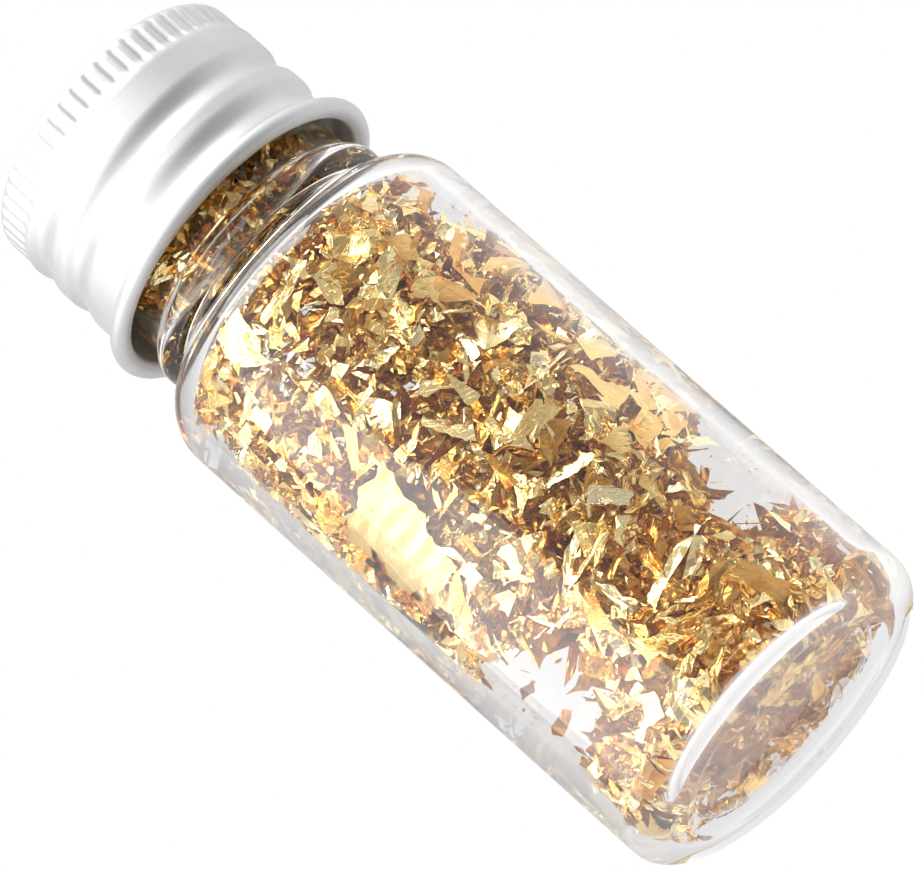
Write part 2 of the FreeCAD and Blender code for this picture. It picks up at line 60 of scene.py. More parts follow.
# %% Sizes of the vial, in millimetres
glass_box = [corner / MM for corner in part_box("glass_vial")]
cap_box = [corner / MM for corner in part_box("screw_cap")]
liner_box = [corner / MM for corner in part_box("cap_liner")]
BODY_RAD = glass_box[1].x
LIP_TOP = glass_box[1].z
CAP_RIM = cap_box[0].z
CAP_TOP = cap_box[1].z
CAP_BEAD_RAD = cap_box[1].x
LINER_RAD = liner_box[1].x
WALL = 1.1
SHOULDER_TOP = 39.7
SHOULDER_ROUND = 2.8
HEEL_ROUND = 1.8
PUSH_UP = 0.6
FLOOR_TOP = 1.2
LIP_ROUND = 0.35
THROAT_ROUND = 0.6  # inside, where the shoulder meets the neck
FOOT_INNER = 7.9
DOME_RAD = 6.95
DOME_EDGE = 0.35
NECK_RAD = 8.0
NECK_BEAD = (40.45, 2.0, 0.75)  # lower edge, height, how far it stands out
NECK_THREAD = 0.62
PITCH = 3.0
THREAD_START = math.radians(-132.0)  # seen from above, where both threads begin
CAP_WALL_RAD = 9.15
CAP_SHEET = 0.28
print("body radius %.2f, lip at %.2f, cap from %.2f to %.2f" % (BODY_RAD, LIP_TOP, CAP_RIM, CAP_TOP))

# %% [markdown]
# ## The camera
# The camera stands far away and has a long lens, so parallel edges stay almost parallel. It looks
# up at the standing vial from below the level of its base, and it is rolled so that the cap points
# to the upper left. Building its three axes by hand shows what azimuth, tilt and roll do, where a
# Track To constraint would hide it.

# %% Camera
CAMERA_FAR = 557.1
CAMERA_LENS = 390.9
LOOK_UP = math.radians(20.5)
ROLL = math.radians(48.35)
AIM_ACROSS = -18.28
AIM_UP = 16.12

forward = Vector((0, math.cos(LOOK_UP), math.sin(LOOK_UP)))
level_right = Vector((1, 0, 0))
level_up = Vector((0, -math.sin(LOOK_UP), math.cos(LOOK_UP)))
camera_right = level_right * math.cos(ROLL) - level_up * math.sin(ROLL)
camera_up = level_right * math.sin(ROLL) + level_up * math.cos(ROLL)
aim = camera_right * AIM_ACROSS + camera_up * AIM_UP

camera = bpy.data.objects.new("camera", bpy.data.cameras.new("camera"))
bpy.context.scene.collection.objects.link(camera)
bpy.context.scene.camera = camera
camera.data.lens = CAMERA_LENS
camera.data.sensor_width = 36.0
camera.data.clip_end = 20.0
place = Matrix((camera_right, camera_up, -forward)).transposed().to_4x4()
place.translation = (aim - forward * CAMERA_FAR) * MM
camera.matrix_world = place
print("the camera stands at", [round(value, 3) for value in place.translation])

# %% [markdown]
# ## Helpers for surfaces
# Every new piece is a grid of points worked out with numpy. Two builders cover them all: one turns
# an outline about the axis, for the glass, the cap and the liner, and one lays out many small
# sheets at once, for the gold leaf.

# %% Fill a mesh from arrays
def fill_mesh(name, points, faces, smooth, uv=None):
    """Make an object from points in mm (n, 3) and a list of face arrays (k, corners).

    uv holds one pair for each corner of each face.
    """
    mesh = bpy.data.meshes.new(name)
    corners = np.concatenate([block.ravel() for block in faces]).astype(np.int32)
    totals = np.concatenate([np.full(len(block), block.shape[1]) for block in faces])
    starts = np.concatenate([[0], np.cumsum(totals)[:-1]]).astype(np.int32)
    mesh.vertices.add(len(points))
    mesh.vertices.foreach_set("co", (points * MM).astype(np.float32).ravel())
    mesh.loops.add(len(corners))
    mesh.loops.foreach_set("vertex_index", corners)
    mesh.polygons.add(len(starts))
    mesh.polygons.foreach_set("loop_start", starts)
    mesh.polygons.foreach_set("use_smooth", np.full(len(starts), smooth))
    if uv is not None:
        layer = mesh.uv_layers.new(name="surface")
        layer.uv.foreach_set("vector", uv.astype(np.float32).ravel())
    mesh.update(calc_edges=True)
    piece = bpy.data.objects.new(name, mesh)
    bpy.context.scene.collection.objects.link(piece)
    print("%-18s %7d points %7d faces" % (name, len(points), len(starts)))
    return piece


# %% Outlines: arcs, straight runs and a sensible spacing of rows
def arc(mid_rad, mid_tall, radius, start, finish, count=40):
    """Points (distance from the axis, height) on a circle, from one angle to another in degrees."""
    turn = np.radians(np.linspace(start, finish, count))
    return np.column_stack([mid_rad + radius * np.cos(turn), mid_tall + radius * np.sin(turn)])


def soften(outline, reach, step=0.04):
    """Round every corner: resample evenly, then take a running average over a reach in mm."""
    lengths = np.hypot(*np.diff(outline, axis=0).T)
    along = np.concatenate([[0.0], np.cumsum(lengths)])
    even = np.arange(0.0, along[-1], step)
    dense = np.column_stack([np.interp(even, along, outline[:, axis]) for axis in (0, 1)])
    half = max(int(reach / step / 2), 1)
    window = np.hanning(2 * half + 3)[1:-1]
    window /= window.sum()
    padded = np.pad(dense, ((half, half), (0, 0)), mode="reflect", reflect_type="odd")
    smooth = np.column_stack([np.convolve(padded[:, axis], window, mode="valid") for axis in (0, 1)])
    return np.vstack([smooth, outline[-1:]])


def space_rows(outline, longest, sharpest, dense_from=None, dense_to=None, dense_step=0.12):
    """Pick rows so that none is longer than `longest` mm or turns more than `sharpest` degrees.

    Between two heights the rows are closer, for a thread that a later push adds.
    """
    step = np.diff(outline, axis=0)
    length = np.hypot(step[:, 0], step[:, 1])
    heading = np.unwrap(np.arctan2(step[:, 1], step[:, 0]))
    cost = length / longest + np.abs(np.degrees(np.diff(heading, prepend=heading[0]))) / sharpest
    if dense_from is not None:
        middle = outline[:-1, 1] + step[:, 1] / 2
        cost = cost + np.where((middle > dense_from) & (middle < dense_to), length / dense_step, 0.0)
    spent = np.concatenate([[0.0], np.cumsum(cost)])
    wanted = np.linspace(0.0, spent[-1], int(spent[-1]) + 2)
    return np.column_stack([np.interp(wanted, spent, outline[:, axis]) for axis in (0, 1)])


# %% Turn an outline about the axis
def turned(name, outline, segments, push=None):
    """A closed solid of revolution: ring j and column i lie at (r cos a, r sin a, z).

    r is the outline's own distance plus the push. The outline starts and ends on the axis, and each end
    closes in one point. The outside is on the right-hand side of its direction of travel.
    """
    angle = np.linspace(0.0, 2 * math.pi, segments, endpoint=False)
    rings = outline[1:-1]
    reach = np.repeat(rings[:, :1], segments, axis=1)
    tall = np.repeat(rings[:, 1:], segments, axis=1)
    if push is not None:
        reach = reach + push(np.arange(1, len(outline) - 1)[:, None], angle[None, :], tall, reach)
    points = np.stack([reach * np.cos(angle), reach * np.sin(angle), tall], axis=-1).reshape(-1, 3)
    first, last = len(points), len(points) + 1
    points = np.vstack([points, [[0, 0, outline[0, 1]], [0, 0, outline[-1, 1]]]])

    row = np.arange(len(rings) - 1)[:, None] * segments
    column = np.arange(segments)[None, :]
    following = (column + 1) % segments
    above = row + segments
    quads = np.stack(np.broadcast_arrays(
        row + column, row + following, above + following, above + column), axis=-1).reshape(-1, 4)
    top = (len(rings) - 1) * segments
    column, following = column.ravel(), following.ravel()
    start_fan = np.column_stack([np.full(segments, first), following, column])
    end_fan = np.column_stack([top + column, top + following, np.full(segments, last)])

    run = np.concatenate([[0.0], np.cumsum(np.hypot(*np.diff(outline, axis=0).T))])
    around = np.arange(segments) / segments
    ahead = around + 1.0 / segments
    low = np.repeat(run[1:-2], segments)
    high = np.repeat(run[2:-1], segments)
    left = np.tile(around, len(rings) - 1)
    right = np.tile(ahead, len(rings) - 1)
    quad_uv = np.stack([left, low, right, low, right, high, left, high], axis=-1).reshape(-1, 2)
    start_uv = np.stack([around, np.full(segments, run[0]), ahead, np.full(segments, run[1]),
                         around, np.full(segments, run[1])], axis=-1).reshape(-1, 2)
    end_uv = np.stack([around, np.full(segments, run[-2]), ahead, np.full(segments, run[-2]),
                       around, np.full(segments, run[-1])], axis=-1).reshape(-1, 2)
    uv = np.vstack([quad_uv, start_uv, end_uv])
    return fill_mesh(name, points, [quads, start_fan, end_fan], True, uv)


def wound(angle, tall, start_tall, turns, fade=0.12):
    """How far each point is from a right-handed helix, in mm along the axis, and the thread's strength.

    The helix climbs one pitch a turn from THREAD_START. Its strength is 1 along its length and falls to 0
    over a share of a turn at both ends.
    """
    exact = (tall - start_tall) / PITCH
    share = ((angle - THREAD_START) / (2 * math.pi)) % 1.0
    turn = share + np.round(exact - share)
    distance = (exact - turn) * PITCH
    strength = np.clip(turn / fade, 0, 1) * np.clip((turns - turn) / fade, 0, 1)
    return distance, strength * strength * (3 - 2 * strength)


# %% [markdown]
# ## The glass
# The bottle is clear glass of about one thickness, with a pushed-up base that leaves a ring to stand
# on, a round shoulder, a bead at the foot of the neck and a screw thread. One outline holds all of
# that, from the middle of the base up the outside, over the lip and down the inside, so the mesh is
# one closed skin with real thickness. The thread is a push along a helix, which turns cleanly into
# the wall. Real glass is never perfectly even, so the inside gets a very small slow ripple: it is
# what makes the flakes behind it swim a little.

# %% Glass outline
SHOULDER_MID = SHOULDER_TOP - SHOULDER_ROUND
INSIDE_RAD = BODY_RAD - WALL
NECK_INSIDE = NECK_RAD - WALL
FLOOR_ROUND = HEEL_ROUND - WALL / 2  # inner radius where the floor meets the wall
dome_radius = (DOME_RAD ** 2 + (PUSH_UP - DOME_EDGE) ** 2) / (2 * (PUSH_UP - DOME_EDGE))
dome_angle = math.degrees(math.asin(DOME_RAD / dome_radius))
bead_low, bead_tall, bead_out = NECK_BEAD
bead_radius = ((bead_tall / 2) ** 2 + bead_out ** 2) / (2 * bead_out)
bead_angle = math.degrees(math.asin(bead_tall / 2 / bead_radius))

outside = np.vstack([
    arc(0.0, PUSH_UP - dome_radius, dome_radius, 90.0, 90.0 - dome_angle),
    [[FOOT_INNER, 0.0]],
    arc(BODY_RAD - HEEL_ROUND, HEEL_ROUND, HEEL_ROUND, -90.0, 0.0),
    arc(BODY_RAD - SHOULDER_ROUND, SHOULDER_MID, SHOULDER_ROUND, 0.0, 90.0),
    [[NECK_RAD, SHOULDER_TOP]],
    arc(NECK_RAD + bead_out - bead_radius, bead_low + bead_tall / 2, bead_radius,
        -bead_angle, bead_angle),
])
mouth = np.vstack([
    arc(NECK_RAD - LIP_ROUND, LIP_TOP - LIP_ROUND, LIP_ROUND, 0.0, 90.0, 12),
    arc(NECK_INSIDE + LIP_ROUND, LIP_TOP - LIP_ROUND, LIP_ROUND, 90.0, 180.0, 12),
])
inside = np.vstack([
    arc(NECK_INSIDE + THROAT_ROUND, SHOULDER_TOP - WALL + THROAT_ROUND, THROAT_ROUND, 180.0, 270.0, 16),
    arc(BODY_RAD - SHOULDER_ROUND, SHOULDER_MID, SHOULDER_ROUND - WALL, 90.0, 0.0),
    arc(INSIDE_RAD - FLOOR_ROUND, FLOOR_TOP + FLOOR_ROUND, FLOOR_ROUND, 0.0, -90.0),
    [[0.0, FLOOR_TOP]],
])
THREAD_SPAN = (45.2, 53.0)  # heights between which the glass thread needs close rows
glass_outline = space_rows(
    np.vstack([soften(outside, 0.3), mouth, soften(inside, 0.3)]), 1.0, 7.8, *THREAD_SPAN, 0.18)
glass_outline[0, 0] = glass_outline[-1, 0] = 0.0
lip_row = int(np.argmax(glass_outline[:, 1]))
print("glass outline: %d rows, the lip is row %d" % (len(glass_outline), lip_row))

# %% Glass mesh
NECK_THREAD_MID = 46.56
NECK_THREAD_TURNS = 1.75
NECK_THREAD_HALF = 0.75  # half its width
GLASS_SEGMENTS = 240


def glass_push(row, angle, tall, reach):
    """Outwards on the neck by the thread's round-topped ridge; a slow, slight ripple on the inside."""
    distance, strength = wound(angle, tall, NECK_THREAD_MID, NECK_THREAD_TURNS)
    crest = np.cos(np.clip(distance / NECK_THREAD_HALF, -1, 1) * math.pi / 2) ** 1.3
    ridge = NECK_THREAD * strength * crest
    ripple = 0.02 * np.sin(3 * angle + 0.21 * tall) + 0.016 * np.sin(2 * angle - 0.4 * tall + 1.0)
    ripple = ripple * np.clip((reach - 6.0) / 3.0, 0, 1)
    return np.where(row < lip_row - 2, np.where(reach < NECK_RAD + 0.01, ridge, 0.0), ripple)


glass = turned("glass", glass_outline, GLASS_SEGMENTS, glass_push)

# %% [markdown]
# ## The cap
# The cap is one thin sheet of aluminium, pressed to a cup and then rolled: a bead at the rim, two
# and a bit turns of thread pushed in from outside, and a knurled top edge for grip. Since the sheet
# keeps one thickness, the inner and the outer surface are pushed by the same amount, and the inside
# of the cap shows the thread too.

# %% Cap outline
BEAD_ROUND = 0.6
bead_mid = CAP_BEAD_RAD - BEAD_ROUND
CAP_INNER_TOP = CAP_TOP - CAP_SHEET
TOP_ROUND = 0.85
cap_outline = np.vstack([
    [[0.0, CAP_INNER_TOP]],
    arc(CAP_WALL_RAD - TOP_ROUND, CAP_TOP - TOP_ROUND, TOP_ROUND - CAP_SHEET, 90.0, 0.0, 16),
    [[CAP_WALL_RAD - CAP_SHEET, CAP_RIM + BEAD_ROUND]],
    arc(bead_mid, CAP_RIM + BEAD_ROUND, BEAD_ROUND, -180.0, 118.0, 40),
    [[CAP_WALL_RAD, CAP_RIM + 2 * BEAD_ROUND + 0.12]],
    arc(CAP_WALL_RAD - TOP_ROUND, CAP_TOP - TOP_ROUND, TOP_ROUND, 0.0, 90.0, 16),
    [[0.0, CAP_TOP]],
])
cap_outline = space_rows(soften(cap_outline, 0.2), 1.0, 14.0, CAP_RIM + 1.3, CAP_TOP - 0.3, 0.26)
cap_outline[0, 0] = cap_outline[-1, 0] = 0.0
print("cap outline: %d rows" % len(cap_outline))

# %% Cap mesh
CAP_THREAD_MID = 45.4
CAP_THREAD_TURNS = 2.15
GROOVE = 0.36
GROOVE_HALF = 1.05  # half its width
KNURLS = 54
KNURL_LOW = 52.35
KNURL_DEEP = 0.2
KNURL_HALF = 0.33  # half the width of one notch
KNURL_STEP = 0.12  # how far the knurled band lies inside the wall
CAP_SEGMENTS = 540


def cap_push(row, angle, tall, reach):
    """Inwards by the rolled groove, and by a round notch 54 times about the axis near the top."""
    distance, strength = wound(angle, tall, CAP_THREAD_MID, CAP_THREAD_TURNS, 0.2)
    groove = GROOVE * strength * np.cos(np.clip(distance / GROOVE_HALF, -1, 1) * math.pi / 2) ** 1.4
    round_it = ((angle * KNURLS / (2 * math.pi)) % 1.0 - 0.5) * 2 * math.pi * CAP_WALL_RAD / KNURLS
    notch = KNURL_DEEP * np.cos(np.clip(round_it / KNURL_HALF, -1, 1) * math.pi / 2) ** 1.2
    band = np.clip((tall - KNURL_LOW) / 0.35, 0, 1) * np.clip((CAP_TOP - 0.25 - tall) / 0.5, 0, 1)
    step = KNURL_STEP * np.clip((tall - KNURL_LOW + 0.1) / 0.35, 0, 1)
    on_wall = np.clip((reach - CAP_WALL_RAD + TOP_ROUND) / (TOP_ROUND - CAP_SHEET), 0, 1)
    return -(groove + notch * band + step) * on_wall * (tall > CAP_RIM + 1.3)


cap = turned("cap", cap_outline, CAP_SEGMENTS, cap_push)

# %% [markdown]
# ## The liner
# A disc of foam glued inside the cap closes the mouth. It is soft, so its edge is round.

# %% Liner mesh
LINER_ROUND = 0.2
liner_low, liner_high = liner_box[0].z, liner_box[1].z
liner_outline = np.vstack([
    [[0.0, liner_low]],
    arc(LINER_RAD - LINER_ROUND, liner_low + LINER_ROUND, LINER_ROUND, -90.0, 0.0, 8),
    arc(LINER_RAD - LINER_ROUND, liner_high - LINER_ROUND, LINER_ROUND, 0.0, 90.0, 8),
    [[0.0, liner_high]],
])
liner_outline = space_rows(liner_outline, 0.7, 20.0)
liner = turned("liner", liner_outline, 128)

# %% [markdown]
# ## Gold scraps
# The filling is imitation gold leaf that was rubbed to bits. A scrap is far thinner than paper, so
# it has straight torn edges and a few sharp folds, and it lies flat against the glass where others
# press it there. Each scrap is a small grid between four random corners, folded along straight
# lines and roughened a little, and drawn with flat faces so that every facet mirrors another part
# of the room. Thousands are worked out at once as one array: that is what numpy is for here, and a
# modifier could not hold them inside the glass.

# %% The room inside the glass, and where it stays empty
KEEP_OFF = 0.07
NECK_CLEAR = 3.2  # how far the scraps keep off the wall between the shoulder and the top of the bead


def room(tall):
    """The free radius inside the glass at a height, in mm."""
    low = np.clip(FLOOR_TOP + FLOOR_ROUND - tall, 0, FLOOR_ROUND)
    heel = INSIDE_RAD - FLOOR_ROUND + np.sqrt(np.clip(FLOOR_ROUND ** 2 - low ** 2, 0, None))
    inner_round = SHOULDER_ROUND - WALL
    high = np.clip(tall - SHOULDER_MID, 0, inner_round)
    crown = BODY_RAD - SHOULDER_ROUND + np.sqrt(np.clip(inner_round ** 2 - high ** 2, 0, None))
    body = np.minimum(heel, crown)
    neck = NECK_INSIDE
    blend = np.clip((tall - (SHOULDER_TOP - WALL - 0.5)) / 0.5, 0, 1)
    return body * (1 - blend) + np.minimum(body, neck) * blend - KEEP_OFF


# empty pockets along the line of sight: across, height at the front wall, half width, half height
POCKETS = np.array([
    [-9.9, 7.6, 4.3, 4.8],
    [-6.0, 8.8, 1.6, 2.6],
    [9.9, 8.0, 4.0, 3.9],
    [9.4, 10.6, 1.7, 2.6],
    [8.6, 0.6, 1.2, 1.0],
    [9.9, 32.6, 2.2, 3.4],
    [-10.2, 32.4, 1.4, 3.0],
])


def in_pocket(across, tall, wobble):
    """True where a scrap's middle would lie in an empty pocket, an ellipse with an uneven edge."""
    away_x = (across[:, None] - POCKETS[:, 0]) / POCKETS[:, 2]
    away_z = (tall[:, None] - POCKETS[:, 1]) / POCKETS[:, 3]
    return (away_x ** 2 + away_z ** 2 < (1 + wobble[:, None]) ** 2).any(axis=1)


# %% The large leaves, and the room they need
# angle, height, corners (along the wall, up) from the lower left, folds, swing and lean in degrees, tone
LEAVES = {
    "broad_leaf": (-133, 22.0, ((-4.6, -2.8), (1.6, -4.4), (3.6, 2.6), (-6.2, 4.8)), 0.06, -3, 1, 0.5),
    "shoulder_leaf": (-65, 35.4, ((-1.7, -1.6), (2.4, -1.8), (2.8, 1.4), (-1.2, 1.7)), 0.7, 0, 8, 0.55),
    "pale_leaf": (-138, 36.2, ((-1.3, -1.2), (1.2, -0.9), (0.9, 1.1), (-0.9, 1.5)), 0.1, -10, 5, 0.7),
    "long_leaf": (-76, 8.2, ((-2.6, -1.2), (2.6, 0.4), (2.8, 1.0), (-2.3, -0.3)), 0.22, -8, 18, 0.75),
    "centre_leaf": (-77, 16.8, ((-1.2, -0.3), (1.9, -1.2), (1.6, 0.0), (-2.0, 1.0)), 0.22, -8, 18, 0.75),
    "folded_leaf": (-61, 26.6, ((-1.6, -1.4), (2.0, -1.9), (1.8, 1.2), (-2.0, 1.9)), 0.2, -14, 16, 0.8),
    "back_leaf": (78, 19.0, ((-2.8, -2.0), (2.6, -2.2), (3.1, 1.9), (-2.4, 2.3)), 0.35, 5, 5, 0.6),
    "side_leaf": (8, 29.5, ((-2.2, -1.9), (2.4, -1.2), (1.7, 2.0), (-2.0, 1.4)), 0.4, -6, 5, 0.5),
    "low_leaf": (112, 9.5, ((-2.3, -1.2), (1.9, -1.9), (2.3, 1.4), (-1.5, 2.0)), 0.3, 6, 0, 0.5),
}
leaf_middle = np.array([numbers[:2] for numbers in LEAVES.values()], float)
leaf_half = np.array([np.ptp(np.array(numbers[2]), axis=0) for numbers in LEAVES.values()]) / 2
leaf_slope = np.tan(np.radians([[abs(numbers[4]), abs(numbers[5])] for numbers in LEAVES.values()]))
leaf_deep = (leaf_slope * leaf_half * 2).sum(axis=1) + 0.4


def before_leaf(angle, reach, tall):
    """True where a scrap's middle would lie before a large leaf, in an ellipse as long as the leaf."""
    off = np.degrees(angle)[:, None] - leaf_middle[:, 0]
    along = np.radians((off + 180) % 360 - 180) * INSIDE_RAD / leaf_half[:, 0]
    up = (tall[:, None] - leaf_middle[:, 1]) / leaf_half[:, 1]
    shallow = (room(tall) - reach)[:, None] < leaf_deep
    return ((along ** 2 + up ** 2 < 0.6) & shallow).any(axis=1)


# %% Scatter the middles of the scraps
def scatter(rng, count, low, high, near_wall, sparse=0.0):
    """Middles for scraps between two heights: a share close to the wall, the rest over the whole disc.

    A pocket is empty along the line of sight, which climbs through the vial, so a scrap's height is first
    carried forward to the front wall. Scraps in a pocket are dropped, except for a small share.
    Gives angle, distance from the axis and height.
    """
    angle = rng.uniform(-math.pi, math.pi, count)
    tall = rng.uniform(low, high, count)
    limit = room(tall) - NECK_CLEAR * (tall > SHOULDER_TOP - WALL) * (tall < bead_low + bead_tall)
    close = limit - rng.exponential(0.55, count)
    spread = limit * np.sqrt(rng.uniform(0, 1, count))
    reach = np.clip(np.where(rng.uniform(0, 1, count) < near_wall, close, spread), 0, limit - 0.05)
    across = reach * np.cos(angle)
    seen = tall - (reach * np.sin(angle) + INSIDE_RAD) * math.tan(LOOK_UP)
    empty = in_pocket(across, seen, rng.normal(0, 0.08, count)) & (rng.uniform(0, 1, count) > sparse)
    keep = ~empty & ~before_leaf(angle, reach, tall)
    return angle[keep], reach[keep], tall[keep]


# %% Lay out many scraps at once
def corner_weights(u, v):
    """Bilinear weights of four corners, from the lower left round, at (u, v) between -1 and 1."""
    return np.stack([(1 - u) * (1 - v), (1 + u) * (1 - v),
                     (1 + u) * (1 + v), (1 - u) * (1 + v)], axis=-1) / 4


def scraps(rng, angle, reach, tall, long, wide, crumple, cells, lie_flat):
    """Points (n, rows, columns, 3) of n scraps, and one uv set each.

    Point (u, v) of a scrap lies between its four corners by bilinear weights; three straight folds and a
    random roughness lift it off its plane. The plane is turned from facing the wall by a random amount that
    lie_flat holds down, and everything outside the glass is pushed back to the wall.
    """
    count = len(angle)
    rows, columns = cells
    u = np.linspace(-1, 1, columns + 1)[None, None, :]
    v = np.linspace(-1, 1, rows + 1)[None, :, None]
    corner = np.array([[-1, -1], [1, -1], [1, 1], [-1, 1]]) * rng.uniform(0.3, 1.15, (count, 4, 2))
    corner += rng.normal(0, 0.18, (count, 4, 2))
    weight = corner_weights(u, v)
    flat = np.einsum("abcd,nde->nbce", weight, corner)
    flat += rng.normal(0, 0.16, flat.shape) / np.array([columns, rows])
    half = np.stack([long, wide], axis=-1)[:, None, None, :] / 2
    flat = flat * half
    size = np.sqrt(long * wide)[:, None, None]

    lift = np.zeros(flat.shape[:3])
    for share in (1.0, 0.6, 0.5):
        course = rng.uniform(0, 2 * math.pi, count)[:, None, None]
        offset = rng.uniform(-0.35, 0.35, count)[:, None, None] * size
        run = flat[..., 0] * np.cos(course) + flat[..., 1] * np.sin(course) - offset
        lift += share * rng.uniform(-1, 1, count)[:, None, None] * np.abs(run)
    lift = (lift * crumple[:, None, None]
            + rng.normal(0, 0.05, lift.shape) * size * crumple[:, None, None])

    normal = np.stack([np.cos(angle), np.sin(angle), np.zeros(count)], axis=-1)
    wild = rng.normal(0, 1, (count, 3))
    wild /= np.linalg.norm(wild, axis=1, keepdims=True)
    normal = normal * lie_flat[:, None] + wild * (1 - lie_flat[:, None])
    normal /= np.linalg.norm(normal, axis=1, keepdims=True)
    side = np.cross(normal, rng.normal(0, 1, (count, 3)))
    side /= np.linalg.norm(side, axis=1, keepdims=True)
    other = np.cross(normal, side)

    middle = np.stack([reach * np.cos(angle), reach * np.sin(angle), tall], axis=-1)
    points = (middle[:, None, None, :] + flat[..., :1] * side[:, None, None, :]
              + flat[..., 1:] * other[:, None, None, :] + lift[..., None] * normal[:, None, None, :])
    uv = flat + rng.uniform(-40, 40, (count, 1, 1, 2))
    return hold_inside(points), uv


def hold_inside(points):
    """Push points back into the free room: heights first, then distances from the axis."""
    points[..., 2] = np.clip(points[..., 2], FLOOR_TOP + KEEP_OFF, LIP_TOP - 0.6)
    reach = np.hypot(points[..., 0], points[..., 1])
    limit = room(points[..., 2])
    points[..., :2] *= (np.minimum(reach, limit) / np.maximum(reach, 1e-6))[..., None]
    return points


# %% Turn the layouts into one mesh
def weave(name, sheets):
    """Join layouts of scraps into one object. Each scrap carries one number, read by the gold's colour."""
    points, uvs, quads, tones, start = [], [], [], [], 0
    for grid, uv, tone in sheets:
        count, rows, columns = grid.shape[:3]
        index = start + np.arange(count * rows * columns).reshape(count, rows, columns)
        quad = np.stack([index[:, :-1, :-1], index[:, :-1, 1:],
                         index[:, 1:, 1:], index[:, 1:, :-1]], axis=-1)
        quads.append(quad.reshape(-1, 4))
        points.append(grid.reshape(-1, 3))
        uvs.append(uv.reshape(-1, 2))
        tones.append(np.repeat(tone, (rows - 1) * (columns - 1)))
        start += count * rows * columns
    quads, uvs = np.concatenate(quads), np.concatenate(uvs)
    piece = fill_mesh(name, np.concatenate(points), [quads], False, uvs[quads.ravel()])
    piece.data.attributes.new("tone", "FLOAT", "FACE").data.foreach_set("value", np.concatenate(tones))
    return piece


# %% [markdown]
# Each zone of the filling is its own piece, so that it can be hidden or swapped. Small scraps make
# the glitter, middle-sized ones the shards that can be told apart, and a few large ones lie deeper
# and close the view through.

# %% Fill the zones
ZONES = {  # name: lowest and highest middle, and how many small, middle and large scraps
    "base_flakes": (1.3, 9.3, 1450, 460, 70),
    "lower_flakes": (9.3, 16.2, 1100, 460, 70),
    "middle_flakes": (16.2, 23.1, 1150, 460, 70),
    "upper_flakes": (23.1, 30.0, 1200, 460, 70),
    "shoulder_flakes": (30.0, 37.9, 1800, 460, 50),
    "neck_flakes": (37.9, 51.5, 1300, 400, 20),
}
SCRAP_KINDS = (  # shortest and longest in mm, rows and columns of cells, share close to the wall
    (0.3, 1.9, (1, 3), 0.75), (1.5, 4.6, (3, 5), 0.72), (3.5, 6.5, (6, 9), 0.3))
zone_pieces = {}
for seed, (zone, (low, high, small, middling, large)) in enumerate(ZONES.items()):
    rng = np.random.default_rng(100 + seed)
    sheets = []
    for count, (shortest, longest, cells, near_wall) in zip((small, middling, large), SCRAP_KINDS):
        angle, reach, tall = scatter(rng, count, low, high, near_wall, 0.02 if longest < 2 else 0.0)
        many = len(angle)
        long = shortest * (longest / shortest) ** rng.uniform(0, 1, many)
        wide = long * rng.uniform(0.12, 0.75, many)
        crumple = rng.uniform(0.1, 1.1, many)
        flatness = np.clip(1.0 - (room(tall) - reach) / 2.5, 0.1, 1.0) * rng.uniform(0.25, 0.8, many)
        grid, uv = scraps(rng, angle, reach, tall, long, wide, crumple, cells, flatness)
        # Painted shade: below the shoulder, scraps that lie deep from the wall get a lower tone, darker and
        # redder, on top of their random tone.
        depth = np.clip((room(tall) - reach) / 4.0, 0, 1)
        painted_shade_inside = 1 - 0.55 * depth * (high < SHOULDER_TOP)
        sheets.append((grid, uv, rng.uniform(0.1, 1, many) * painted_shade_inside))
    zone_pieces[zone] = weave("gold_" + zone, sheets)

# %% [markdown]
# Rubbed leaf also leaves dust: crumbs of a few tenths of a millimetre that cling to the glass. They
# could be a particle system, but loose meshes made by the same layout stay where they are put.

# %% Crumbs
CRUMBS = {"lower_crumbs": (1.3, 14.2), "middle_crumbs": (14.2, 25.5), "upper_crumbs": (25.5, 37.5)}
for seed, (zone, (low, high)) in enumerate(CRUMBS.items()):
    rng = np.random.default_rng(200 + seed)
    angle, reach, tall = scatter(rng, 700, low, high, 1.0, 0.25)
    many = len(angle)
    long = 0.12 * 4.0 ** rng.uniform(0, 1, many)
    grid, uv = scraps(rng, angle, reach, tall, long, long * rng.uniform(0.4, 1, many),
                      rng.uniform(0.3, 1, many), (1, 2), rng.uniform(0.3, 1, many))
    zone_pieces[zone] = weave("gold_" + zone, [(grid, uv, rng.uniform(0, 1, many))])

# %% [markdown]
# ## The large leaves
# Nine leaves are big enough to be known one by one. They hug the glass, so they are laid out on the
# inside of the wall: across is an arc, up is the axis. The edge is torn, which a few octaves of
# random steps along the border give, and the sheet is wrinkled by folds that run all the way
# across.

# %% Leaves along the wall
def border(rng, count):
    """A torn edge: random steps at four scales along a line, each about half as strong as the last."""
    place = np.linspace(0, 1, count)
    line = np.zeros(count)
    for octave, strength in enumerate((0.10, 0.06, 0.03, 0.018)):
        knots = rng.uniform(-1, 1, 4 * 2 ** octave + 1)
        line += strength * np.interp(place, np.linspace(0, 1, len(knots)), knots)
    return line


